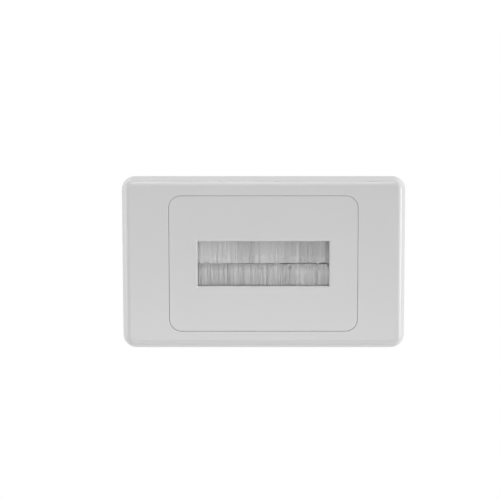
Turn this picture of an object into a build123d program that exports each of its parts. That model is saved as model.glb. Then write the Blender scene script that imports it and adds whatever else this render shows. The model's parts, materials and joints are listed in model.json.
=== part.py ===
from build123d import *
import math
import os
import random

# Brush wall plate: a single-gang plate whose window is closed by two facing rows of bristles.
# X runs to the right as seen from the front, Z is up, and Y runs into the wall. The wall is the plane Y = 0,
# the face looks along -Y, and the origin lies midway between the two fixing slots. All sizes are millimetres.
# A level is a height above the wall, measured toward the viewer.

# Cover: a hollow frame with flared sides that hides the fixing screws. Its face is a wide band at each side
# of the opening and a narrow one above and below it.
plate_width = 115.0
plate_height = 70.0
plate_depth = 8.5
corner_radius = 5.4
side_draft = 15.0
edge_radius = 2.8
side_band = 19.82
top_band = 7.9
cover_wall = 1.8
cover_inside_chamfer = 0.8
seam = 0.1
seam_round = 0.2
lip_thickness = 1.2
lip_level = 4.2
cover_rib_thickness = 1.2
cover_rib_depth = 1.6
side_rib_spacing = 30.0
band_rib_spacing = 14.0
guide_level = 0.8
guide_clearance = 0.15

# Snap hooks: two along the top edge and two along the bottom edge of the cover
hook_spacing = 52.0
hook_width = 7.0
hook_thickness = 1.3
hook_reach = 0.9
hook_end_level = 0.3
hook_clearance = 0.25

# Grid plate: flange on the wall, with a raised panel that fills the opening of the cover
panel_radius = 4.9
panel_wall = 1.8
flange_thickness = 2.4
flange_clearance = 0.4
flange_chamfer = 0.4
ledge_thickness = 0.9
pocket_roof = 1.2
pocket_border = 1.5
pocket_rib_thickness = 1.2
screw_pad_height = 13.0
panel_rib_thickness = 1.2
panel_rib_depth = 2.4
panel_rib_spacing = 16.0

# Fixing slots for the screws of the wall box, each set in from the end of the plate
fixing_inset = 15.5
slot_width = 4.2
slot_length = 6.0
head_seat_width = 7.0
head_seat_length = 8.2
head_seat_depth = 0.8

# Window and the strip brushes that close it
window_inset = 11.36
window_round = 0.7
strip_overlap = 3.68
channel_setback = 1.2
channel_depth = 4.0
channel_height = 4.6
channel_sheet = 0.5
channel_bend_radius = 1.0
crimp_height = 2.0
crimp_depth = 0.3
bristle_end_gap = 0.4
bristle_clearance = 0.05
wire_diameter = 1.1
tip_gap = 0.08
tip_unevenness = 0.18
tip_nick = 0.1
splay_length = 0.8
tuft_width = 1.1
tuft_nip = 0.3
ridge_unevenness = 0.16
tuft_shoulder = 0.22
tuft_width_share = 0.5
droop_length = 1.6
droop_height = 1.5

# Cradle ribs that hold the strips in the grid plate
seat_clearance = 0.05
cradle_clearance = 0.1
cradle_wall = 1.2
cradle_height = 3.6
locating_lip_height = 0.45
locating_lip_width = 0.75

# Retainer that clamps the strips from behind, with its four self-tapping screws
retainer_end_border = 4.0
retainer_screw_border = 3.2
retainer_inset = 3.9
retainer_radius = 3.0
retainer_thickness = 1.8
retainer_edge_chamfer = 0.5
retainer_window_margin = 0.3
retainer_window_round = 0.6
retainer_lip_height = 0.35
screw_inset = 5.0
boss_diameter = 4.8
boss_overlap = 0.3
pilot_clearance = 0.05
pilot_spare_depth = 0.5
screw_shank_diameter = 1.6
screw_engagement = 3.1
screw_point_length = 0.8
screw_hole_clearance = 0.4
screw_head_diameter = 4.0
screw_head_height = 1.3
screw_head_chamfer = 0.5
head_clearance = 0.3
counterbore_depth = 0.7
recess_width = 0.5
recess_span = 2.2
recess_depth = 0.7

# Sizes that follow from the ones above
lean = math.tan(math.radians(side_draft))
side_wall = cover_wall / math.cos(math.radians(side_draft))
panel_width = plate_width - 2 * side_band
panel_height = plate_height - 2 * top_band
fixing_centres = plate_width - 2 * fixing_inset
face_inside = plate_depth - cover_wall
panel_inside = plate_depth - panel_wall
ledge_level = flange_thickness - ledge_thickness
strip_front = panel_inside - seat_clearance
strip_back = strip_front - channel_depth
strip_middle = (strip_front + strip_back) / 2
retainer_half_z = panel_height / 2 - panel_wall - retainer_inset
screw_z = retainer_half_z - retainer_screw_border
cradle_end = screw_z - boss_diameter / 2 + boss_overlap
channel_end = cradle_end - cradle_wall - cradle_clearance
mouth = channel_end - channel_height
window_height = 2 * (mouth - channel_setback)
window_width = panel_width - 2 * window_inset
strip_length = window_width + 2 * strip_overlap
screw_spacing = strip_length - 2 * screw_inset
lip_start = mouth - cradle_clearance - locating_lip_width
retainer_front = strip_back - seat_clearance
retainer_back = retainer_front - retainer_thickness
screw_seat = retainer_back + counterbore_depth
retainer_half_x = strip_length / 2 + retainer_end_border


def level(height):
    """The plane parallel to the wall at this height, drawn on as seen from the front."""
    return Plane.XZ.offset(height)


def slab(outline, low, high, taper=0.0):
    """The outline as a solid between two levels, its sides leaning in by taper degrees."""
    return extrude(level(low) * outline, high - low, taper=taper)


def front_edges(solid):
    """The edges round the face nearest the viewer."""
    return solid.faces().sort_by(Axis.Y)[0].edges()


def back_edges(solid):
    """The edges round the face nearest the wall."""
    return solid.faces().sort_by(Axis.Y)[-1].edges()


def inside_of_skirt(overall, height):
    """Half the free width between the cover's sides at a level, for its overall width or height."""
    return overall / 2 - side_wall - height * lean


def inside_radius(height):
    """The corner radius of the cover's inside at a level."""
    return corner_radius - side_wall - height * lean


def side_profile(points, width):
    """A solid of this width centred on X = 0, from its outline in (level, Z) pairs seen from the side."""
    outline = make_face(Polyline([(-height, z) for height, z in points], close=True))
    return extrude(Plane.YZ * outline, width / 2, both=True)


def four_ways(half_x, half_z):
    """The four places at plus and minus these distances, as seen from the front."""
    return [(x, z) for x in (-half_x, half_x) for z in (-half_z, half_z)]


def both_ways(pieces, plane):
    """The pieces, and each of them mirrored in the plane."""
    return pieces + [mirror(piece, about=plane) for piece in pieces]


def block(x_low, x_high, z_low, z_high, low, high):
    """A rectangular block between two levels."""
    outline = Pos((x_low + x_high) / 2, (z_low + z_high) / 2) * Rectangle(x_high - x_low, z_high - z_low)
    return slab(outline, low, high)


# The flange fits inside the skirt, and the snap hooks stand where the skirt meets the inside of the face
flange_half_x = inside_of_skirt(plate_width, flange_thickness) - flange_clearance
flange_half_z = inside_of_skirt(plate_height, flange_thickness) - flange_clearance
flange_radius = inside_radius(flange_thickness) - flange_clearance
hook_outside = inside_of_skirt(plate_height, face_inside)
hook_inside = hook_outside - hook_thickness


def snap_hook():
    """One hook of the top edge: an arm from the inside of the face, with a barb that points to the middle."""
    barb_top = ledge_level - seat_clearance * 2
    barb_end = hook_inside - hook_reach
    return side_profile(
        [
            (face_inside + cover_wall / 2, hook_inside),
            (barb_top, hook_inside),
            (barb_top, barb_end),
            (barb_top - hook_reach / 3, barb_end),
            (hook_end_level, hook_inside - hook_reach / 6),
            (hook_end_level, hook_outside),
            (face_inside + cover_wall / 2, hook_outside),
        ],
        hook_width,
    )


def cover_ribs():
    """Thin ribs that tie the lip to the skirt. Those at the sides run down the skirt and guide the flange."""
    low = face_inside - cover_rib_depth
    high = face_inside + cover_wall / 2
    half = cover_rib_thickness / 2
    lip_x = panel_width / 2 + seam + lip_thickness / 2
    lip_z = panel_height / 2 + seam + lip_thickness / 2
    guide_x = flange_half_x + guide_clearance
    side_ribs = []
    for z in (-side_rib_spacing / 2, side_rib_spacing / 2):
        side_ribs.append(block(lip_x, plate_width / 2, z - half, z + half, low, high))
        side_ribs.append(block(guide_x, plate_width / 2, z - half, z + half, guide_level, high))
    band_ribs = [
        block(x - half, x + half, lip_z, plate_height / 2, low, high)
        for x in (-band_rib_spacing, 0, band_rib_spacing)
    ]
    return both_ways(side_ribs, Plane.YZ) + both_ways(band_ribs, Plane.XY)


def surround_cover():
    """The clip-on frame: a drafted shell with a rounded edge, and a lip round its opening."""
    outside = slab(RectangleRounded(plate_width, plate_height, corner_radius), 0, plate_depth, side_draft)
    outside = fillet(front_edges(outside), edge_radius)
    hollow_outline = RectangleRounded(
        plate_width - 2 * side_wall,
        plate_height - 2 * side_wall,
        corner_radius - side_wall,
    )
    hollow = slab(hollow_outline, 0, face_inside, side_draft)
    hollow = chamfer(front_edges(hollow), cover_inside_chamfer)
    cover = outside - hollow

    lip_outline = RectangleRounded(
        panel_width + 2 * (seam + lip_thickness),
        panel_height + 2 * (seam + lip_thickness),
        panel_radius + seam + lip_thickness,
    )
    cover += slab(lip_outline, lip_level, plate_depth - cover_wall / 2)
    hooks = [Pos(x, 0, 0) * snap_hook() for x in (-hook_spacing / 2, hook_spacing / 2)]
    for piece in cover_ribs() + both_ways(hooks, Plane.XY):
        cover += piece & outside

    opening_outline = RectangleRounded(
        panel_width + 2 * seam, panel_height + 2 * seam, panel_radius + seam
    )
    opening = slab(opening_outline, 0, plate_depth)
    cover -= opening
    rim = [
        edge
        for edge in front_edges(cover)
        if abs(edge.center(CenterOf.BOUNDING_BOX).X) < panel_width / 2 + 2 * seam
        and abs(edge.center(CenterOf.BOUNDING_BOX).Z) < panel_height / 2 + 2 * seam
    ]
    return fillet(rim, seam_round)


def strip_cradle():
    """Ribs round the upper strip: a back rib, two end stops and a low lip at the channel's mouth."""
    half = strip_length / 2 + cradle_clearance
    back = cradle_end - cradle_wall
    low = panel_inside - cradle_height
    cradle = block(-half - cradle_wall, half + cradle_wall, back, cradle_end, low, panel_inside)
    for side in (-1, 1):
        x_low, x_high = sorted((side * half, side * (half + cradle_wall)))
        cradle += block(x_low, x_high, lip_start, cradle_end, low, panel_inside)
    lip_top = panel_inside - locating_lip_height
    cradle += block(-half, half, lip_start, lip_start + locating_lip_width, lip_top, panel_inside)
    return cradle


def panel_ribs():
    """Ribs behind the upper part of the panel, from the strip's cradle to the panel's top wall."""
    half = panel_rib_thickness / 2
    top = panel_height / 2 - panel_wall / 2
    low = panel_inside - panel_rib_depth
    return [
        block(x - half, x + half, cradle_end, top, low, panel_inside)
        for x in (-panel_rib_spacing, 0, panel_rib_spacing)
    ]


def hook_notches():
    """Cuts for the hooks: notches in the flange's edge, and reliefs under the ledges that the barbs catch."""
    notch_width = hook_width + 2 * hook_clearance
    notch_start = hook_inside - hook_clearance
    relief_start = notch_start - hook_reach
    cuts = []
    for x in (-hook_spacing / 2, hook_spacing / 2):
        low_x, high_x = x - notch_width / 2, x + notch_width / 2
        notch = block(low_x, high_x, notch_start, plate_height / 2, 0, flange_thickness)
        relief = block(low_x, high_x, relief_start, notch_start, 0, ledge_level)
        cuts += [notch, relief]
    return both_ways(cuts, Plane.XY)


def flange_pockets():
    """Hollows in the back of the flange beside the fixing slots, two above and two below on each side."""
    x_low = panel_width / 2 + pocket_border / 2
    x_high = flange_half_x - pocket_border
    z_low = screw_pad_height / 2
    z_high = flange_half_z - pocket_border
    width = x_high - x_low
    height = (z_high - z_low - pocket_rib_thickness) / 2
    roof = flange_thickness - pocket_roof
    pockets = []
    for z in (z_low + height / 2, z_high - height / 2):
        for x, z_side in four_ways((x_low + x_high) / 2, z):
            pockets.append(slab(Pos(x, z_side) * Rectangle(width, height), 0, roof))
    return pockets


def grid_plate():
    """The plate that is screwed to the wall, with the raised panel and its window."""
    flange = slab(
        RectangleRounded(2 * flange_half_x, 2 * flange_half_z, flange_radius), 0, flange_thickness
    )
    flange = chamfer(front_edges(flange), flange_chamfer)
    panel = slab(RectangleRounded(panel_width, panel_height, panel_radius), 0, plate_depth)
    panel = fillet(front_edges(panel), seam_round)
    inside_outline = RectangleRounded(
        panel_width - 2 * panel_wall, panel_height - 2 * panel_wall, panel_radius - panel_wall
    )
    plate = flange + panel - slab(inside_outline, 0, panel_inside)

    for rib in both_ways([strip_cradle(), *panel_ribs()], Plane.XY):
        plate += rib
    boss = slab(Circle(boss_diameter / 2), strip_back, panel_inside)
    pilot_end = retainer_front + screw_engagement + pilot_spare_depth
    pilot = slab(Circle(screw_shank_diameter / 2 + pilot_clearance), strip_back, pilot_end)
    for x, z in four_ways(screw_spacing / 2, screw_z):
        plate += Pos(x, 0, z) * boss
        plate -= Pos(x, 0, z) * pilot

    plate -= slab(Rectangle(window_width, window_height), panel_inside, plate_depth)
    rim = [
        edge
        for edge in front_edges(plate)
        if abs(edge.center().X) < window_width / 2 + seam
        and abs(edge.center().Z) < window_height / 2 + seam
    ]
    plate = fillet(rim, window_round)
    slot = slab(SlotOverall(slot_length, slot_width), 0, flange_thickness)
    seat = slab(
        SlotOverall(head_seat_length, head_seat_width),
        flange_thickness - head_seat_depth,
        flange_thickness,
    )
    for x in (-fixing_centres / 2, fixing_centres / 2):
        plate -= Pos(x, 0, 0) * slot
        plate -= Pos(x, 0, 0) * seat
    for cut in hook_notches() + flange_pockets():
        plate -= cut
    return plate


def channel_section(depth, top, bend):
    """An outline of the upper channel from the side, this deep at its closed end, crimped in at its mouth."""
    half = depth / 2
    bend_z = mouth + crimp_height
    outline = make_face(
        Polyline(
            [
                (-strip_middle - half, top),
                (-strip_middle - half, bend_z),
                (-strip_middle - half + crimp_depth, mouth),
                (-strip_middle + half - crimp_depth, mouth),
                (-strip_middle + half, bend_z),
                (-strip_middle + half, top),
            ],
            close=True,
        )
    )
    corners = outline.vertices().group_by(Axis.Y)[-1]
    return fillet(corners, bend)


def brush_channel():
    """The folded metal channel of the upper strip, open toward the window."""
    outer = channel_section(channel_depth, channel_end, channel_bend_radius)
    inner = channel_section(
        channel_depth - 2 * channel_sheet,
        channel_end - channel_sheet,
        channel_bend_radius - channel_sheet,
    )
    return extrude(Plane.YZ * (outer - inner), strip_length / 2, both=True)


bundle_half = channel_depth / 2 - channel_sheet - bristle_clearance
bundle_end = channel_end - channel_sheet - bristle_clearance
wire_z = bundle_end - bundle_half
bristle_length = strip_length - 2 * bristle_end_gap
tuft_count = round(bristle_length / tuft_width)


def core_wire():
    """The wire that the upper filaments are folded over."""
    section = Pos(-strip_middle, wire_z) * Circle(wire_diameter / 2)
    return extrude(Plane.YZ * section, strip_length / 2, both=True)


def bundle_root():
    """The part of the bundle inside the channel: folded round the wire and nipped at the mouth."""
    mouth_half = bundle_half - crimp_depth
    bend_z = mouth + crimp_height
    outline = make_face(
        Polyline(
            [
                (-strip_middle - mouth_half, mouth),
                (-strip_middle - bundle_half, bend_z),
                (-strip_middle - bundle_half, wire_z),
                (-strip_middle + bundle_half, wire_z),
                (-strip_middle + bundle_half, bend_z),
                (-strip_middle + mouth_half, mouth),
            ],
            close=True,
        )
    )
    fold = Pos(-strip_middle, wire_z) * Circle(bundle_half)
    hole = Pos(-strip_middle, wire_z) * Circle(wire_diameter / 2 + bristle_clearance)
    return extrude(Plane.YZ * (outline + fold - hole), bristle_length / 2, both=True)


def splay_profile():
    """The space that the bundle spreads into as it leaves the mouth, seen from the side."""
    mouth_half = bundle_half - crimp_depth
    wide = channel_depth / 2
    outline = Polyline(
        [
            (-strip_middle - mouth_half, mouth),
            (-strip_middle - wide, mouth - splay_length),
            (-strip_middle - wide, 0),
            (-strip_middle + wide, 0),
            (-strip_middle + wide, mouth - splay_length),
            (-strip_middle + mouth_half, mouth),
        ],
        close=True,
    )
    return extrude(Plane.YZ * make_face(outline), strip_length / 2, both=True)


def tuft_edges(seed):
    """The X places where the tufts of a row meet, a little uneven, from its left end to its right."""
    chance = random.Random(seed)
    pitch = bristle_length / tuft_count
    start = -bristle_length / 2
    edges = [start]
    for number in range(1, tuft_count):
        edges.append(start + pitch * (number + tuft_width_share * (chance.random() - 0.5)))
    return edges + [-start]


def tuft_outline(edges, seed):
    """The bundle from its tips: flat-topped tufts, some prouder than others, with nips between them."""
    chance = random.Random(seed)
    nip = bundle_half - tuft_nip
    rows = []
    for side in (-1, 1):
        row = [(edges[0], -strip_middle + side * nip)]
        for left, right in zip(edges, edges[1:]):
            ridge = -strip_middle + side * (bundle_half - ridge_unevenness * chance.random())
            row.append((left + tuft_shoulder, ridge))
            row.append((right - tuft_shoulder, ridge))
            row.append((right, -strip_middle + side * nip))
        rows.append(row)
    outline = make_face(Polyline(rows[0] + rows[1][::-1], close=True))
    return extrude(outline, mouth)


def tip_outline(edges, seed, droop):
    """The row from the front: each tuft a little lower where it meets the next, the right end drooping."""
    chance = random.Random(seed)
    droop_start = window_width / 2 - droop_length

    def tip(x, nick):
        past = min(max(0.0, (x - droop_start) / droop_length), 1.0)
        return (x, tip_gap + nick + tip_unevenness * chance.random() + droop * past**2)

    corners = [(edges[0], mouth), tip(edges[0], tip_nick)]
    for left, right in zip(edges, edges[1:]):
        corners.append(tip((left + right) / 2, 0))
        corners.append(tip(right, tip_nick))
    corners.append((edges[-1], mouth))
    outline = make_face(Polyline(corners, close=True))
    return slab(outline, strip_back, strip_front)


def bristle_row(seed, droop):
    """The bristles of the upper strip as one bundle with its tufts and uneven tips."""
    edges = tuft_edges(seed)
    tufts = tuft_outline(edges, seed) & tip_outline(edges, seed, droop) & splay_profile()
    return bundle_root() + tufts


def brush_retainer():
    """The frame that clamps both strips from behind, with a window for the cables."""
    outline = RectangleRounded(2 * retainer_half_x, 2 * retainer_half_z, retainer_radius)
    frame = slab(outline, retainer_back, retainer_front)
    frame = chamfer(back_edges(frame), retainer_edge_chamfer)
    half_x = window_width / 2 + retainer_window_margin
    half_z = window_height / 2 + retainer_window_margin
    frame -= slab(Rectangle(2 * half_x, 2 * half_z), retainer_back, retainer_front)
    rim = [
        edge
        for edge in back_edges(frame)
        if max(abs(edge.center().X) - half_x, abs(edge.center().Z) - half_z) < seat_clearance
    ]
    frame = fillet(rim, retainer_window_round)
    lip_high = retainer_front + retainer_lip_height
    half_strip = strip_length / 2
    lip = block(-half_strip, half_strip, half_z, mouth - cradle_clearance, retainer_front, lip_high)
    for rib in both_ways([lip], Plane.XY):
        frame += rib
    hole = slab(
        Circle(screw_shank_diameter / 2 + screw_hole_clearance), retainer_back, retainer_front
    )
    counterbore = slab(Circle(screw_head_diameter / 2 + head_clearance), retainer_back, screw_seat)
    for x, z in four_ways(screw_spacing / 2, screw_z):
        frame -= Pos(x, 0, z) * hole
        frame -= Pos(x, 0, z) * counterbore
    return frame


def self_tapping_screw():
    """One retainer screw, its head toward the wall: pan head, cross recess, plain shank and point."""
    head_top = screw_seat - screw_head_height
    head = slab(Circle(screw_head_diameter / 2), head_top, screw_seat)
    head = chamfer(back_edges(head), screw_head_chamfer)
    shank = slab(Circle(screw_shank_diameter / 2), screw_seat, retainer_front + screw_engagement)
    shank = chamfer(front_edges(shank), screw_point_length, screw_shank_diameter / 4)
    screw = head + shank
    for turn in (0, 90):
        bar = Rot(0, 0, turn) * Rectangle(recess_span, recess_width)
        screw -= slab(bar, head_top, head_top + recess_depth)
    return screw


def retainer_screws():
    """The four screws of the retainer."""
    screw = self_tapping_screw()
    return Compound([Pos(x, 0, z) * screw for x, z in four_ways(screw_spacing / 2, screw_z)])


upper_channel = brush_channel()
upper_wire = core_wire()
parts = {
    "surround_cover": surround_cover(),
    "grid_plate": grid_plate(),
    "upper_brush_channel": upper_channel,
    "lower_brush_channel": mirror(upper_channel, about=Plane.XY),
    "upper_core_wire": upper_wire,
    "lower_core_wire": mirror(upper_wire, about=Plane.XY),
    "upper_bristles": bristle_row(seed=3, droop=0.0),
    "lower_bristles": mirror(bristle_row(seed=8, droop=droop_height), about=Plane.XY),
    "brush_retainer": brush_retainer(),
    "retainer_screws": retainer_screws(),
}

os.makedirs("parts", exist_ok=True)
for name, shape in parts.items():
    export_step(shape, f"parts/{name}.step")
    print(name, len(shape.solids()), "solid(s),", round(shape.volume), "cubic mm")
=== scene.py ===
# %% [markdown]
# Brush wall plate
#
# This lesson dresses a wall plate whose window is closed by two facing rows of bristles. A cable is pushed
# through and the bristles part round it. The rigid pieces come from the CAD model and keep their shapes, so
# the work here is in their finishes, in the soft bristles, in the small screws behind, and in a studio that
# lights it all like the photograph.
#
# The CAD model is loaded first, and the size of each of its nodes is printed. Nothing made here may change
# the size of the object.

# %% Load the frame
import json
import math
import random

import bpy
import numpy as np
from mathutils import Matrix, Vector

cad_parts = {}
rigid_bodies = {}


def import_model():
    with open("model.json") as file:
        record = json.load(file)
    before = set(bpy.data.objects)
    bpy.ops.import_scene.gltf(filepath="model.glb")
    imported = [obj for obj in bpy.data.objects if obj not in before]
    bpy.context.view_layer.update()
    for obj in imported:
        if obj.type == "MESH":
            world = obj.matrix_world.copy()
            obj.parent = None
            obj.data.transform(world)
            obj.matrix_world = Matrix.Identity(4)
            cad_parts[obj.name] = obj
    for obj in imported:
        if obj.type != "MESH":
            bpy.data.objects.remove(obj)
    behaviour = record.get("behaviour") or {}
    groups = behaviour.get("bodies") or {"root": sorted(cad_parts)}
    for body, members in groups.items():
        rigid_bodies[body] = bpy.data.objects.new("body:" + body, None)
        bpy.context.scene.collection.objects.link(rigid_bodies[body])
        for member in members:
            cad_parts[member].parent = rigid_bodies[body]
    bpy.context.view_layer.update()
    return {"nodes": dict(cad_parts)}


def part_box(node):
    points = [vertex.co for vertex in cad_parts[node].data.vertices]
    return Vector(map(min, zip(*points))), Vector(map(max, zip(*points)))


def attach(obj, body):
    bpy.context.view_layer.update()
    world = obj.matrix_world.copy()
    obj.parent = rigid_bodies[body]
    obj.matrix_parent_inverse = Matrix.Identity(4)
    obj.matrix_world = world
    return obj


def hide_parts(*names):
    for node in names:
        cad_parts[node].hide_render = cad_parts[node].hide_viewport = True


for leftover in list(bpy.data.objects):
    bpy.data.objects.remove(leftover)

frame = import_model()
nodes = frame["nodes"]
MM = 0.001
for name in sorted(nodes):
    low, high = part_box(name)
    size = [round((b - a) / MM, 2) for a, b in zip(low, high)]
    print(name, "measures", size, "mm")

# %% [markdown]
# The camera
#
# The photograph was taken with a long lens, almost square on, from a little above: the top edge of the
# plate shows and the bottom edge does not. The plate sits slightly right of the middle and below it.
# Turning the camera to put it there would also turn the view of its edges, so the lens is shifted by a
# small part of the frame instead. Blender gives the lens and the sensor in millimetres.

# %% Place the camera
CAMERA_PITCH = math.radians(4.5)
CAMERA_DISTANCE = 411.7 * MM
CAMERA_RIGHT = 3.6 * MM
CAMERA_UP = 0.6 * MM
NEAREST_SEEN = 10 * MM
LENS_LENGTH = 72.65
SENSOR_WIDTH = 36
SHIFT_RIGHT = -0.0449
SHIFT_UP = 0.0225

forward = Vector((0, math.cos(CAMERA_PITCH), -math.sin(CAMERA_PITCH)))
upward = Vector((0, math.sin(CAMERA_PITCH), math.cos(CAMERA_PITCH)))
bpy.ops.object.camera_add(
    location=-CAMERA_DISTANCE * forward + Vector((CAMERA_RIGHT, 0, 0)) + CAMERA_UP * upward,
    rotation=(math.pi / 2 - CAMERA_PITCH, 0, 0),
)
camera = bpy.context.object
camera.data.sensor_width = SENSOR_WIDTH
camera.data.lens = LENS_LENGTH
camera.data.clip_start = NEAREST_SEEN
camera.data.shift_x = SHIFT_RIGHT
camera.data.shift_y = SHIFT_UP
bpy.context.scene.camera = camera
print("the camera stands at", [round(v / MM, 1) for v in camera.location], "mm")

# %% [markdown]
# Sockets that can be reckoned with
#
# A material is a tree of nodes. Wiring each sum by hand makes long code, so one small class wraps a socket
# and lets it be added, subtracted and multiplied like a number. Each operator adds one Math node.
# Everything else comes from one method that adds any node, sets its options and then its sockets.


# %% Wrap a socket
class Value:
    """The output of a node in a finish. Operators on it add Math nodes."""

    def __init__(self, finish, socket):
        self.finish = finish
        self.socket = socket

    def reckon(self, operation, first, second):
        return self.finish.node("ShaderNodeMath", {"operation": operation}, {0: first, 1: second})

    def __add__(self, other):
        return self.reckon("ADD", self, other)

    __radd__ = __add__

    def __sub__(self, other):
        return self.reckon("SUBTRACT", self, other)

    def __rsub__(self, other):
        return self.reckon("SUBTRACT", other, self)

    def __mul__(self, other):
        return self.reckon("MULTIPLY", self, other)

    __rmul__ = __mul__


# %% Build a finish
class Finish:
    """A material with a Principled shader, whose steady values are set by socket when it is made."""

    def __init__(self, name, steady):
        self.material = bpy.data.materials.new(name)
        self.material.use_nodes = True
        self.tree = self.material.node_tree
        self.shader = self.tree.nodes["Principled BSDF"]
        for socket, value in steady.items():
            self.shader.inputs[socket].default_value = value

    def node(self, kind, options=None, inputs=None, output=0):
        """Adds a node, sets its options and then its sockets, and returns the output asked for."""
        made = self.tree.nodes.new(kind)
        for option, value in (options or {}).items():
            setattr(made, option, value)
        for socket, value in (inputs or {}).items():
            self.feed(made.inputs[socket], value)
        return Value(self, made.outputs[output])

    def feed(self, socket, value):
        """Links a value to a socket, or sets the socket where the value is a plain number or vector."""
        if isinstance(value, Value):
            self.tree.links.new(value.socket, socket)
        else:
            socket.default_value = value

    def place(self):
        """Where a point lies on the object, in metres."""
        return self.node("ShaderNodeTexCoord", output="Object")

    def stretched(self, scale):
        """The place, squeezed by a factor along each axis."""
        return self.node("ShaderNodeMapping", {}, {"Vector": self.place(), "Scale": scale})

    def noise(self, where, scale, detail=3.0, roughness=0.5):
        """Soft random values between 0 and 1, this many patches to the metre."""
        sockets = {"Vector": where, "Scale": scale, "Detail": detail, "Roughness": roughness}
        return self.node("ShaderNodeTexNoise", {}, sockets)

    def blend(self, share, first, second):
        """A colour between two others."""
        options = {"data_type": "RGBA"}
        return self.node("ShaderNodeMix", options, {0: share, 6: first, 7: second}, output=2)

    def colour(self, value):
        self.feed(self.shader.inputs["Base Color"], value)

    def roughness(self, value):
        self.feed(self.shader.inputs["Roughness"], value)

    def relief(self, height, depth):
        """Bumps the surface by a height between 0 and 1 that stands for a depth in metres."""
        bump = self.node("ShaderNodeBump", {}, {"Height": height, "Distance": depth, "Strength": 1.0})
        self.feed(self.shader.inputs["Normal"], bump)


def grey(value):
    """A neutral colour."""
    return (value, value, value, 1)


print("finishes can be built")

# %% [markdown]
# White moulded plastic
#
# The cover and the panel are moulded in the same satin white plastic. A mould gives it a very fine even
# grain and a sheen that varies a little from place to place, and nothing else: no streaks and no patches.
# One noise fine enough to be seen only from close by makes the grain. A broad one moves the sheen, and the
# shade by so little that it can't be told. The photograph shows this white as a light grey, and a studio
# set at a plain level renders a colour about as it is written, so that grey is written.


# %% Finish the plastic pieces
MOULDED_WHITE = 0.61
DULL_WHITE = 0.55


def moulded_plastic(name, shade, sheen, grain_depth):
    """Satin plastic of one grey, with the fine grain of its mould."""
    finish = Finish(name, {"IOR": 1.5})
    where = finish.place()
    cloud = finish.noise(where, scale=45, detail=2)
    grain = finish.noise(where, scale=5200, detail=2)
    finish.colour(finish.blend(cloud, grey(shade * 0.985), grey(shade * 1.015)))
    finish.roughness(sheen + 0.06 * (cloud - 0.5) + 0.05 * (grain - 0.5))
    finish.relief(grain, grain_depth)
    return finish.material


cover_plastic = moulded_plastic("cover plastic", MOULDED_WHITE, sheen=0.33, grain_depth=3e-6)
panel_plastic = moulded_plastic("panel plastic", MOULDED_WHITE, sheen=0.33, grain_depth=3e-6)
retainer_plastic = moulded_plastic("retainer plastic", DULL_WHITE, sheen=0.5, grain_depth=5e-6)
print("three plastics, the retainer's a little duller")

# %% [markdown]
# Metal inside the plate
#
# Each strip brush is a channel folded from mill-finish aluminium sheet. Rolling leaves fine lines along the
# sheet, so the noise is stretched along X until its patches are long hairs. The core wire is drawn through
# a die, which leaves lines along it too. The screws are zinc plated, a bluish metal with a cloudy sheen.


# %% Finish the metal pieces
def rolled_metal(name, shade, sheen, line_depth):
    """Bare metal with fine lines along X."""
    finish = Finish(name, {"Metallic": 1.0})
    lines = finish.noise(finish.stretched((40, 9000, 9000)), scale=1.0, detail=4)
    cloud = finish.noise(finish.place(), scale=160, detail=3)
    tone = 0.7 * lines + 0.3 * cloud
    finish.colour(finish.blend(tone, grey(shade * 0.82), grey(shade * 1.1)))
    finish.roughness(sheen + 0.25 * (tone - 0.5))
    finish.relief(lines, line_depth)
    return finish.material


def zinc_plate(name):
    """Plated steel: bluish, with soft clouds in its colour and its sheen."""
    finish = Finish(name, {"Metallic": 1.0})
    cloud = finish.noise(finish.place(), scale=700, detail=4, roughness=0.6)
    finish.colour(finish.blend(cloud, (0.46, 0.49, 0.54, 1), (0.74, 0.76, 0.78, 1)))
    finish.roughness(0.22 + 0.25 * cloud)
    finish.relief(finish.noise(finish.place(), scale=6000), depth=2e-6)
    return finish.material


channel_metal = rolled_metal("channel aluminium", shade=0.78, sheen=0.34, line_depth=3e-6)
wire_metal = rolled_metal("core wire steel", shade=0.55, sheen=0.3, line_depth=2e-6)
screw_metal = zinc_plate("screw zinc")
print("three metals")

# %% [markdown]
# Dress the rigid pieces
#
# A CAD node is never moved and its mesh is never changed. It only gets a better material in its own slot.

# %% Give the CAD nodes their finishes
finishes = {
    "surround_cover": cover_plastic,
    "grid_plate": panel_plastic,
    "brush_retainer": retainer_plastic,
    "upper_brush_channel": channel_metal,
    "lower_brush_channel": channel_metal,
    "upper_core_wire": wire_metal,
    "lower_core_wire": wire_metal,
}
for name, material in finishes.items():
    for material_slot in nodes[name].material_slots:
        material_slot.material = material
    print(name, "is", material.name)
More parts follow.
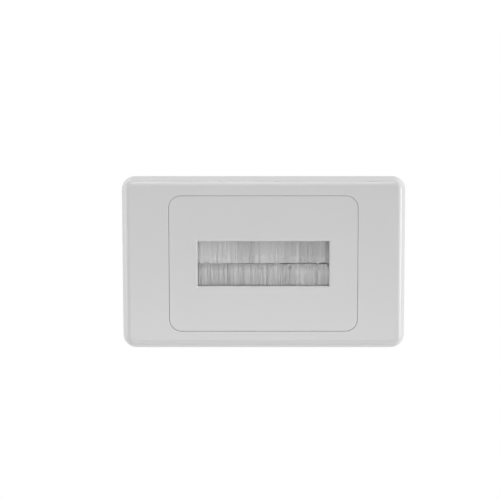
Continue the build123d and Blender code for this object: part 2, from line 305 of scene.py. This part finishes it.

# %% [markdown]
# The bristles
#
# A strip brush is made from loose nylon filaments. They are laid over a steel wire, folded in half round
# it, and the channel is closed on the fold, so that every filament is a long hairpin with two legs. The
# channel's mouth nips the bundle, and past the mouth it spreads again. In CAD each row is one solid. Here
# each row is a few thousand hairpins. One is modelled first: a small three-sided ring is extruded up one
# leg, spun round the wire and extruded down the other leg. An Array modifier repeats it, and then each copy
# gets its own place, lean, length and depth.
#
# The strip's own sizes are read from the CAD model. The lower strip is the upper one upside down, so one
# set of sizes serves both. A height is measured from the middle of the window towards the channel, and a
# level from the middle of the strip towards the front.

# %% Read the strip's sizes
channel_low, channel_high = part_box("upper_brush_channel")
wire_low, wire_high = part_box("upper_core_wire")
bundle_low, bundle_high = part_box("upper_bristles")
ROW_END_ROOM = 0.1 * MM
STRIP_MIDDLE = -(channel_low.y + channel_high.y) / 2
MOUTH_HEIGHT = channel_low.z
WIRE_HEIGHT = (wire_low.z + wire_high.z) / 2
BUNDLE_HALF = (bundle_high.y - bundle_low.y) / 2
ROW_HALF = bundle_high.x - ROW_END_ROOM
print("the mouth is", round(MOUTH_HEIGHT / MM, 2), "mm from the middle of the window")
print("the wire is", round(WIRE_HEIGHT / MM, 2), "mm from it")

# %% Sizes of a filament
FILAMENTS = 2400
FILAMENT_RADIUS = 0.085 * MM
MODELLED_LEVEL = 1.0 * MM
FOLD_STEPS = 3
TIP_HEIGHT = 0.2 * MM
OPEN_HEIGHT = MOUTH_HEIGHT - 1.0 * MM
NIP_HEIGHT = MOUTH_HEIGHT + 0.3 * MM
LEG_HEIGHTS = [TIP_HEIGHT, 3.2 * MM, 6.4 * MM, OPEN_HEIGHT, NIP_HEIGHT, WIRE_HEIGHT]
MERGE_DISTANCE = 0.001 * MM
print("each row has", FILAMENTS, "filaments over", round(2 * ROW_HALF / MM, 1), "mm")


# %% Model one filament
def extrude(step):
    """Extrudes what is selected in edit mode by a step."""
    bpy.ops.mesh.extrude_region_move(TRANSFORM_OT_translate={"value": step})


def close_up():
    """Merges doubles, closes the open ends, turns all faces outwards and leaves edit mode."""
    bpy.ops.mesh.select_all(action="SELECT")
    bpy.ops.mesh.remove_doubles(threshold=MERGE_DISTANCE)
    bpy.ops.mesh.fill_holes(sides=0)
    bpy.ops.mesh.select_all(action="SELECT")
    bpy.ops.mesh.normals_make_consistent(inside=False)
    bpy.ops.object.mode_set(mode="OBJECT")


def model_filament(name, side):
    """One hairpin of the upper row (side 1) or the lower row (side -1)."""
    bpy.ops.object.select_all(action="DESELECT")
    bpy.ops.mesh.primitive_circle_add(
        vertices=3,
        radius=FILAMENT_RADIUS,
        location=(0, -STRIP_MIDDLE - MODELLED_LEVEL, side * TIP_HEIGHT),
    )
    filament = bpy.context.object
    filament.name = name
    bpy.ops.object.transform_apply(location=True)
    bpy.ops.object.mode_set(mode="EDIT")
    bpy.ops.mesh.select_all(action="SELECT")
    for low, high in zip(LEG_HEIGHTS, LEG_HEIGHTS[1:]):
        extrude((0, 0, side * (high - low)))
    bpy.ops.mesh.spin(
        steps=FOLD_STEPS,
        angle=side * math.pi,
        center=(0, -STRIP_MIDDLE, side * WIRE_HEIGHT),
        axis=(1, 0, 0),
    )
    down = LEG_HEIGHTS[::-1]
    for high, low in zip(down, down[1:]):
        extrude((0, 0, side * (low - high)))
    close_up()
    print("one filament has", len(filament.data.polygons), "faces")
    return filament


def repeat_filament(filament):
    """Repeats the hairpin along the row. The copies lie on each other until they are laid out."""
    bpy.ops.object.modifier_add(type="ARRAY")
    repeat = filament.modifiers[-1]
    repeat.use_relative_offset = False
    repeat.use_constant_offset = True
    repeat.constant_offset_displace = (0, 0, 0)
    repeat.count = FILAMENTS
    bpy.ops.object.modifier_apply(modifier=repeat.name)


# %% [markdown]
# Draw the differences
#
# Bristles are never quite even. They gather into clumps one or two millimetres wide, which lean a little to
# one side, stand a little prouder or deeper and end a little higher or lower, and that is what draws the
# soft streaks down a brush. So the row is divided into clumps of random width first, and each filament
# follows its clump and adds a small difference of its own. A few broad hollows, where a brush has been
# pressed back, are placed one by one: they are deeper, and painted shade makes them darker. A hollow with a
# negative strength is only a place of painted light, which is lighter and stands as the rest does.

# %% Divide a row into clumps
CLUMP_WIDTHS = (0.7 * MM, 2.4 * MM)
CLUMP_LEAN = 0.17 * MM
CLUMP_DEPTHS = (-0.22 * MM, -0.06 * MM)
CLUMP_SHORTNESS = 0.08 * MM
CLUMP_GATHERS = (0.02, 0.12)
CLUMP_TONE = 0.04
HOLLOW_DEPTH = 0.3 * MM
# How much a hollow is painted darker as painted shade, or lighter as painted light where its strength is
# negative.
HOLLOW_PAINTED_SHADING = 0.3


def hollow_at(hollows, x):
    """How strong the hollows are here, which sets their depth and their painted shade. Each is a place and
    half width in millimetres, and a strength.
    """
    total = 0.0
    for place, half_width, strength in hollows:
        total += strength * math.exp(-(((x / MM - place) / half_width) ** 2))
    return total


def clump_row(chance, hollows):
    """The clumps of a row from left to right: where each starts, and how its filaments differ."""
    clumps = []
    start = -ROW_HALF
    while start < ROW_HALF:
        width = chance.uniform(*CLUMP_WIDTHS)
        middle = start + width / 2
        hollow = hollow_at(hollows, middle)
        clump = {
            "start": start,
            "middle": middle,
            "lean": chance.gauss(0, CLUMP_LEAN),
            "depth": chance.uniform(*CLUMP_DEPTHS) - HOLLOW_DEPTH * max(hollow, 0),
            "short": abs(chance.gauss(0, CLUMP_SHORTNESS)),
            "gather": chance.uniform(*CLUMP_GATHERS),
            # The tone is the clump's own random tone plus painted shade: darker in a hollow, lighter where
            # a hollow's strength is negative.
            "tone": chance.gauss(0, CLUMP_TONE) - HOLLOW_PAINTED_SHADING * hollow,
        }
        clumps.append(clump)
        start += width
    return clumps


print("a clump is at most", round(CLUMP_WIDTHS[1] / MM, 1), "mm wide")

# %% Draw the filaments
FOLD_INSIDE = 0.74 * MM
FOLD_OUTSIDE = 1.38 * MM
OWN_LEAN = 0.12 * MM
OWN_SHORTNESS = 0.07 * MM
OWN_TONE = 0.03


def draw_filaments(seed, hollows):
    """What sets the filaments apart, as named columns with one value for each filament."""
    clumps = clump_row(random.Random(seed), hollows)
    chance = np.random.default_rng(seed)
    spread = np.arange(FILAMENTS) + chance.uniform(0, 1, FILAMENTS)
    root = -ROW_HALF + 2 * ROW_HALF * spread / FILAMENTS
    starts = [clump["start"] for clump in clumps]
    home = np.searchsorted(starts, root, side="right") - 1
    drawn = {key: np.array([clump[key] for clump in clumps])[home] for key in clumps[0]}
    drawn["root"] = root
    drawn["share"] = chance.uniform(0, 1, FILAMENTS)
    drawn["fold"] = FOLD_INSIDE + drawn["share"] * (FOLD_OUTSIDE - FOLD_INSIDE)
    drawn["own_lean"] = chance.normal(0, OWN_LEAN, FILAMENTS)
    drawn["own_short"] = np.abs(chance.normal(0, OWN_SHORTNESS, FILAMENTS))
    drawn["tone"] = drawn["tone"] + chance.normal(0, OWN_TONE, FILAMENTS)
    print("the row is gathered into", len(clumps), "clumps")
    return {key: values[:, None] for key, values in drawn.items()}


# %% [markdown]
# Lay out a row
#
# Each filament has a share between 0, in the heart of the bundle, and 1, on its outside, and keeps to that
# share all the way: round the wire, through the mouth and out to the tip. Only the filaments near the
# outside lean and gather with their clump, because the heart is packed too tightly. The front tips follow
# the line between the rows, which opens up towards the right. At the back the tips of the lower row end a
# little above the middle, behind those of the upper row, as the tips of two real strips interleave.

# %% Bend the legs
INNERMOST = 0.03 * MM
MOUTH_HALF = 1.12 * MM
BUNDLE_SLACK = 0.08 * MM
FOLLOWS_FROM = 0.25
FOLLOWS_FULLY = 0.875
LEAN_BEND = 1.5


def leg_level(drawn, height):
    """How far from the strip's middle a leg runs, from the fold through the mouth to the tip."""
    nipped = INNERMOST + drawn["share"] * (MOUTH_HALF - INNERMOST)
    spread = drawn["share"] * (BUNDLE_HALF - BUNDLE_SLACK) + drawn["depth"]
    spread = np.clip(spread, INNERMOST, BUNDLE_HALF - FILAMENT_RADIUS)
    closed = np.clip((WIRE_HEIGHT - height) / (WIRE_HEIGHT - NIP_HEIGHT), 0, 1)
    opened = np.clip((NIP_HEIGHT - height) / (NIP_HEIGHT - OPEN_HEIGHT), 0, 1)
    inside = drawn["fold"] * (1 - closed) + nipped * closed
    return inside * (1 - opened) + spread * opened


def sideways(drawn, free):
    """How far a leg stands to the side of its root, where free runs from 0 at the mouth to 1 at the tip."""
    follows = np.clip((drawn["share"] - FOLLOWS_FROM) / (FOLLOWS_FULLY - FOLLOWS_FROM), 0, 1)
    lean = (drawn["lean"] * follows + drawn["own_lean"]) * free**LEAN_BEND
    gather = (drawn["middle"] - drawn["root"]) * drawn["gather"] * follows * free
    return lean + gather


def round_fold(drawn, level, height):
    """Moves the fold in or out from where it was modelled, along the spokes of its turn round the wire."""
    fold_step = math.pi / FOLD_STEPS
    angle = np.round(np.arctan2(height - WIRE_HEIGHT, level) / fold_step) * fold_step
    shift = drawn["fold"] - MODELLED_LEVEL
    return level + shift * np.cos(angle), height + shift * np.sin(angle)


bundle_depth, mouth_depth = round(2 * BUNDLE_HALF / MM, 2), round(2 * MOUTH_HALF / MM, 2)
print("the mouth nips the bundle from", bundle_depth, "to", mouth_depth, "mm")

# %% End the tips
WINDOW_HALF = 26.32 * MM
DROOP_LENGTH = 1.6 * MM
DROOP_HEIGHT = 1.5 * MM
LINE_AT_LEFT = -0.06 * MM
LINE_OPENS_BY = 0.25 * MM
LINE_BEND = 2.8


def front_tips(drawn, droops):
    """How far from the window's middle the tips end. A row that droops is rounded off at the right."""
    along = (drawn["root"] + ROW_HALF) / (2 * ROW_HALF)
    tips = LINE_AT_LEFT + LINE_OPENS_BY * along**LINE_BEND + drawn["own_short"] + drawn["short"]
    if droops:
        past = np.clip((drawn["root"] - (WINDOW_HALF - DROOP_LENGTH)) / DROOP_LENGTH, 0, 1)
        tips = tips + DROOP_HEIGHT * past**2
    return tips


print("each row draws back by", round(LINE_OPENS_BY / MM, 2), "mm from left to right")

# %% Lay out the filaments
BACK_FROM = 0.5 * MM
TIP_BEND = 3


def write_attribute(row, name, values):
    """Writes a number on every point of the row, for the finish to read by its name."""
    attribute = row.data.attributes.new(name, "FLOAT", "POINT")
    attribute.data.foreach_set("value", values.reshape(-1))


def lay_row(row, plan):
    """Gives every filament of a row its own place, lean, depth and length, and a tone for its finish."""
    side = plan["side"]
    drawn = draw_filaments(plan["seed"], plan["hollows"])
    points = np.empty(len(row.data.vertices) * 3)
    row.data.vertices.foreach_get("co", points)
    points = points.reshape(FILAMENTS, -1, 3)
    level = -points[:, :, 1] - STRIP_MIDDLE
    height = side * points[:, :, 2]
    front = np.sign(level)
    free = np.clip((MOUTH_HEIGHT - height) / (MOUTH_HEIGHT - TIP_HEIGHT), 0, 1)

    out = leg_level(drawn, height)
    behind = (front < 0) & (out > BACK_FROM)
    back_tips = plan["back_tips"] + drawn["own_short"]
    tips = np.where(behind, back_tips, front_tips(drawn, plan["droops"]))
    leg_height = height + (tips - TIP_HEIGHT) * free**TIP_BEND
    fold_level, fold_height = round_fold(drawn, level, height)

    on_leg = height <= WIRE_HEIGHT + MERGE_DISTANCE
    level = np.where(on_leg, level + front * (out - MODELLED_LEVEL), fold_level)
    laid = np.empty_like(points)
    laid[:, :, 0] = points[:, :, 0] + drawn["root"] + sideways(drawn, free)
    laid[:, :, 1] = -STRIP_MIDDLE - level
    laid[:, :, 2] = side * np.where(on_leg, leg_height, fold_height)
    row.data.vertices.foreach_set("co", laid.reshape(-1))
    # The tone written here holds each filament's random tone and the painted shade of the hollows.
    write_attribute(row, "tone", np.broadcast_to(drawn["tone"], free.shape))
    write_attribute(row, "reach", 0.5 + plan["lightening"] * (free - 0.5))
    row.data.update()
    print("its tips end", round(tips.min() / MM, 2), "to", round(tips.max() / MM, 2), "mm from the middle")


# %% [markdown]
# The filaments' finish
#
# The nylon is a milky white that looks grey between its neighbours. Each filament carries its own tone,
# which also holds the painted shade of the hollows, and each point of it how far it reaches past the mouth.
# The upper row is painted lighter toward its tips, where more light comes through. In the photograph the
# lower row is a touch darker there instead. The tone and the reach are attributes that the layout wrote on
# the mesh, so the finish follows every filament wherever it leans.


# %% Finish the bristles
def nylon(name, dark, light):
    """Milky nylon whose brightness follows the tone and the reach of each filament."""
    finish = Finish(name, {"IOR": 1.53})
    tone = finish.node("ShaderNodeAttribute", {"attribute_name": "tone"}, output="Fac")
    reach = finish.node("ShaderNodeAttribute", {"attribute_name": "reach"}, output="Fac")
    scuff = finish.noise(finish.stretched((2500, 2500, 350)), scale=1.0, detail=2)
    # The tone brings the painted shade of the hollows, and the reach paints the upper row lighter toward
    # its tips and the lower row a touch darker.
    share = 0.45 + 1.1 * tone + 0.3 * (reach - 0.5) + 0.2 * (scuff - 0.5)
    finish.colour(finish.blend(share, grey(dark), grey(light)))
    finish.roughness(0.42 - 0.2 * tone + 0.1 * (scuff - 0.5))
    finish.relief(scuff, depth=4e-6)
    return finish.material


bristle_nylon = nylon("bristle nylon", dark=0.6, light=0.94)
print("one nylon for both rows")

# %% [markdown]
# Both rows
#
# The two rows are made in the same way, each from its own plan. A plan holds what was matched to the
# photograph: the seed of the row's random differences, its hollows, where its back tips end, whether its
# right end droops, and how much it lightens towards its tips.

# %% Plan both rows
UPPER_PLAN = {"side": 1, "seed": 3, "back_tips": 0.4 * MM, "droops": False, "lightening": 1.0}
# A hollow is a place and half width in millimetres and a strength. A positive one is deeper and painted
# darker, a negative one is only painted lighter.
UPPER_PLAN["hollows"] = [(-27, 1.2, -2.0), (-21, 8, -1.1), (-6, 2.2, 0.4), (2, 6, -0.4)]
UPPER_PLAN["hollows"] += [(22, 13, 0.5), (26.6, 1.6, 0.9), (23.6, 0.7, -0.7)]
LOWER_PLAN = {"side": -1, "seed": 8, "back_tips": -0.2 * MM, "droops": True, "lightening": -0.2}
LOWER_PLAN["hollows"] = [(-27, 1.2, -1.4), (-19, 1.5, 0.3), (-10, 5, 0.3)]
LOWER_PLAN["hollows"] += [(0.5, 0.8, 0.5), (8.7, 2.5, 0.4), (18, 5, -0.5)]
# The hollows with a negative strength are places of painted light.
print("the upper row has", len(UPPER_PLAN["hollows"]), "hollows, painted_light places among them")
print("the lower row has", len(LOWER_PLAN["hollows"]), "of them")


# %% Make both rows
def make_row(name, node, plan):
    """One row of bristles in place of the CAD solid."""
    row = model_filament(name, plan["side"])
    repeat_filament(row)
    lay_row(row, plan)
    bpy.ops.object.shade_smooth()
    row.data.materials.append(bristle_nylon)
    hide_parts(node)
    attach(row, "root")
    print(name, "has", len(row.data.polygons), "faces")


make_row("upper_bristle_row", "upper_bristles", UPPER_PLAN)
make_row("lower_bristle_row", "lower_bristles", LOWER_PLAN)

# %% [markdown]
# The retainer's screws
#
# Four small self-tapping screws hold the retainer. A screw is turned on a lathe and its thread is rolled on
# afterwards, and it is modelled in that order. A small ring grows from the tip to the middle of the head,
# each step extruded and scaled, as the lathe's tool would move. The cross recess is cut by two tapered bars
# with a Boolean. The thread is one diamond swept round the shank by a Screw modifier. The four screws are
# copies of that one, and each head stops at its own angle, because nobody drives four screws to the same
# one.
#
# The rings are given in millimetres, as a radius and a distance in front of the wall. The screws stand
# where they stand in the CAD model, with heads as wide and as high.

# %% Sizes of the screw
SHANK_RINGS = [(0.3, 5.65), (0.8, 4.9), (0.8, 1.5)]
HEAD_RINGS = [(1.94, 1.5), (2.0, 1.42), (2.0, 1.15), (1.95, 0.88)]
HEAD_RINGS += [(1.78, 0.6), (1.46, 0.38), (0.98, 0.25), (0.4, 0.2)]
SCREW_RINGS = SHANK_RINGS + HEAD_RINGS
POINT_START = SHANK_RINGS[1][1] * MM
RING_CORNERS = 40
print("a screw is", round(SCREW_RINGS[0][1] - SCREW_RINGS[-1][1], 2), "mm long")


# %% Turn the screw's body
def turn_body():
    """Shank and pan head, as rings from the tip to the middle of the head, with the axis along Y."""
    bpy.ops.object.select_all(action="DESELECT")
    radius, distance = SCREW_RINGS[0]
    bpy.ops.mesh.primitive_circle_add(
        vertices=RING_CORNERS,
        radius=radius * MM,
        location=(0, -distance * MM, 0),
        rotation=(math.pi / 2, 0, 0),
    )
    body = bpy.context.object
    body.name = "retainer_screw"
    bpy.ops.object.transform_apply(location=True, rotation=True)
    bpy.ops.object.mode_set(mode="EDIT")
    bpy.ops.mesh.select_all(action="SELECT")
    for new_radius, new_distance in SCREW_RINGS[1:]:
        extrude((0, (distance - new_distance) * MM, 0))
        factor = new_radius / radius
        bpy.ops.transform.resize(value=(factor, 1, factor), center_override=(0, -new_distance * MM, 0))
        radius, distance = new_radius, new_distance
    close_up()
    return body


# %% Cut the cross recess
RECESS_SPAN = 2.3 * MM
RECESS_WIDTH = 0.5 * MM
RECESS_TOP = 0.1 * MM
RECESS_BOTTOM = 1.0 * MM
RECESS_TAPER = (0.5, 1, 0.8)


def pick(*chosen):
    """Selects these objects and nothing else. The first becomes the active one."""
    bpy.ops.object.select_all(action="DESELECT")
    for thing in chosen:
        thing.select_set(True)
    bpy.context.view_layer.objects.active = chosen[0]


def recess_bar(turn):
    """One bar of the cross, which is shorter and narrower at the bottom of the recess."""
    bpy.ops.object.select_all(action="DESELECT")
    middle = -(RECESS_TOP + RECESS_BOTTOM) / 2
    bpy.ops.mesh.primitive_cube_add(size=1, location=(0, middle, 0))
    bar = bpy.context.object
    bar.scale = (RECESS_SPAN, RECESS_BOTTOM - RECESS_TOP, RECESS_WIDTH)
    bpy.ops.object.transform_apply(location=True, rotation=True, scale=True)
    for corner in bar.data.vertices:
        corner.select = corner.co.y < middle
    for edge in bar.data.edges:
        edge.select = all(bar.data.vertices[i].select for i in edge.vertices)
    for face in bar.data.polygons:
        face.select = all(bar.data.vertices[i].select for i in face.vertices)
    bpy.ops.object.mode_set(mode="EDIT")
    bpy.ops.transform.resize(value=RECESS_TAPER, center_override=(0, -RECESS_BOTTOM, 0))
    bpy.ops.object.mode_set(mode="OBJECT")
    bar.rotation_euler = (0, turn, 0)
    bpy.ops.object.transform_apply(location=True, rotation=True, scale=True)
    return bar


def cut(body, bar):
    """Takes the bar out of the body and removes the bar."""
    pick(body)
    bpy.ops.object.modifier_add(type="BOOLEAN")
    taking = body.modifiers[-1]
    taking.operation = "DIFFERENCE"
    taking.solver = "EXACT"
    taking.object = bar
    bpy.ops.object.modifier_apply(modifier=taking.name)
    bpy.data.objects.remove(bar)
    print("the screw's body has", len(body.data.polygons), "faces")


# %% Roll the thread
THREAD_PITCH = 0.7 * MM
THREAD_TURNS = 4
THREAD_STEPS = 28
THREAD_MIDDLE = 0.82 * MM
THREAD_HALF = 0.17 * MM


def roll_thread():
    """A diamond swept round the shank, from behind its point towards the head."""
    bpy.ops.object.select_all(action="DESELECT")
    start = (THREAD_MIDDLE, -(POINT_START - THREAD_HALF), 0)
    bpy.ops.mesh.primitive_circle_add(vertices=4, radius=THREAD_HALF, location=start)
    thread = bpy.context.object
    thread.name = "screw_thread"
    bpy.ops.object.transform_apply(location=True)
    bpy.ops.object.modifier_add(type="SCREW")
    sweep = thread.modifiers[-1]
    sweep.axis = "Y"
    sweep.screw_offset = THREAD_PITCH
    sweep.iterations = THREAD_TURNS
    sweep.steps = THREAD_STEPS
    sweep.render_steps = THREAD_STEPS
    bpy.ops.object.modifier_apply(modifier=sweep.name)
    bpy.ops.object.mode_set(mode="EDIT")
    close_up()
    near = -max(corner.co.y for corner in thread.data.vertices) / MM
    far = -min(corner.co.y for corner in thread.data.vertices) / MM
    print("the thread runs from", round(near, 2), "to", round(far, 2), "mm in front of the wall")
    return thread


# %% Make one screw
SMOOTH_BELOW = math.radians(35)
screw = turn_body()
for turn in (0, math.pi / 2):
    cut(screw, recess_bar(turn))
thread = roll_thread()
pick(screw, thread)
bpy.ops.object.join()
bpy.ops.object.shade_smooth_by_angle(angle=SMOOTH_BELOW)
print("a whole screw has", len(screw.data.polygons), "faces")

# %% Make the four screws
SCREW_X = 25.0 * MM
SCREW_Z = 18.2 * MM
SCREW_PLACES = [(-SCREW_X, -SCREW_Z), (-SCREW_X, SCREW_Z), (SCREW_X, -SCREW_Z), (SCREW_X, SCREW_Z)]
SCREW_TURNS = [0.2, 0.9, 1.3, 0.55]

screws = []
for (x, z), turn in zip(SCREW_PLACES, SCREW_TURNS):
    pick(screw)
    bpy.ops.object.duplicate(linked=False)
    copy = bpy.context.object
    copy.rotation_euler = (0, turn, 0)
    copy.location = (x, 0, z)
    bpy.ops.object.transform_apply(location=True, rotation=True)
    screws.append(copy)
bpy.data.objects.remove(screw)
pick(*screws)
bpy.ops.object.join()
screw_set = bpy.context.object
screw_set.name = "retainer_screw_set"
screw_set.data.materials.append(screw_metal)
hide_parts("retainer_screws")
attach(screw_set, "root")
print(len(screws), "screws are one piece of", len(screw_set.data.polygons), "faces")

# %% [markdown]
# The studio
#
# The photograph is lit by soft boxes. Two low ones in front make the face a little brighter toward its
# foot, and a weak one stands high in front. A large one above lights the top edge. One far off at the
# right, near the plane of the face, makes the bright band along that side, and a small one at the left,
# just behind that plane, makes the thin bright line there. One more straight behind keeps the back readable
# when the plate is turned round. No surface that the front view shows faces it, so it adds no highlight.
#
# Only camera, mirror and glass rays see the pure white background. All other rays see a quiet grey one, so
# that the background never floods the object with light. The floor is plain and pale and lies well below,
# because the plate hangs on a wall. The camera sees it as white as the background. The view transform is
# Standard, which leaves colours as they were rendered.


# %% Light the studio
def soft_box(name, place, width, height, watts):
    """An area light that faces the plate."""
    bpy.ops.object.light_add(type="AREA", location=place)
    lamp = bpy.context.object
    lamp.name = name
    lamp.data.shape = "RECTANGLE"
    lamp.data.size = width
    lamp.data.size_y = height
    lamp.data.energy = watts
    lamp.visible_camera = False
    lamp.rotation_euler = (-Vector(place)).to_track_quat("-Z", "Y").to_euler()
    print(name, "gives", watts, "W")


soft_box("front box", (-0.1, -0.8, 0.55), width=0.4, height=0.4, watts=0.45)
soft_box("low strip", (-0.05, -0.62, -0.17), width=0.6, height=0.08, watts=1.11)
soft_box("low box", (0.0, -0.35, -0.55), width=0.5, height=0.2, watts=0.9)
soft_box("top box", (-0.05, -0.18, 0.85), width=0.6, height=0.5, watts=3.8)
soft_box("right box", (1.4, -0.06, 0.1), width=0.8, height=0.8, watts=13.0)
soft_box("left box", (-0.6, 0.05, 0.05), width=0.35, height=0.35, watts=1.15)
soft_box("back box", (0.0, 0.75, 0.06), width=0.2, height=0.2, watts=2.2)


# %% Set the background
def show_white(tree, plain, white, output):
    """Shows the white shader to the camera, to mirrors and to glass, and the plain one to the rest."""
    path = tree.nodes.new("ShaderNodeLightPath")
    share = path.outputs["Is Camera Ray"]
    for ray in ("Is Glossy Ray", "Is Transmission Ray"):
        most = tree.nodes.new("ShaderNodeMath")
        most.operation = "MAXIMUM"
        tree.links.new(share, most.inputs[0])
        tree.links.new(path.outputs[ray], most.inputs[1])
        share = most.outputs[0]
    choice = tree.nodes.new("ShaderNodeMixShader")
    tree.links.new(share, choice.inputs[0])
    tree.links.new(plain.outputs[0], choice.inputs[1])
    tree.links.new(white.outputs[0], choice.inputs[2])
    tree.links.new(choice.outputs[0], output.inputs["Surface"])


PURE_WHITE = (1, 1, 1, 1)
WHITE_STRENGTH = 1.0
QUIET_STRENGTH = 0.35
world = bpy.data.worlds.new("studio")
bpy.context.scene.world = world
world.use_nodes = True
tree = world.node_tree
quiet = tree.nodes["Background"]
quiet.inputs["Color"].default_value = PURE_WHITE
quiet.inputs["Strength"].default_value = QUIET_STRENGTH
white = tree.nodes.new("ShaderNodeBackground")
white.inputs["Color"].default_value = PURE_WHITE
white.inputs["Strength"].default_value = WHITE_STRENGTH
show_white(tree, quiet, white, tree.nodes["World Output"])
print("the background gives", WHITE_STRENGTH, "to the camera and", QUIET_STRENGTH, "to the rest")

# %% Lay the floor
FLOOR_SIZE = 1.6
FLOOR_DROP = 0.6
FLOOR_DARK = 0.58
FLOOR_LIGHT = 0.62
bpy.ops.object.select_all(action="DESELECT")
bpy.ops.mesh.primitive_plane_add(size=FLOOR_SIZE, location=(0, 0, -FLOOR_DROP))
floor = bpy.context.object
floor.name = "floor"
bpy.ops.object.transform_apply(location=True)
pale = Finish("floor paint", {"Roughness": 0.8})
floor_cloud = pale.noise(pale.place(), scale=6, detail=2)
pale.colour(pale.blend(floor_cloud, grey(FLOOR_DARK), grey(FLOOR_LIGHT)))
glow = pale.tree.nodes.new("ShaderNodeEmission")
show_white(pale.tree, pale.shader, glow, pale.tree.nodes["Material Output"])
floor.data.materials.append(pale.material)
print("the floor lies", FLOOR_DROP / MM, "mm below the middle of the plate")

# %% Leave the colours as rendered
view_settings = bpy.context.scene.view_settings
view_settings.view_transform = "Standard"
print("the view transform is", view_settings.view_transform)
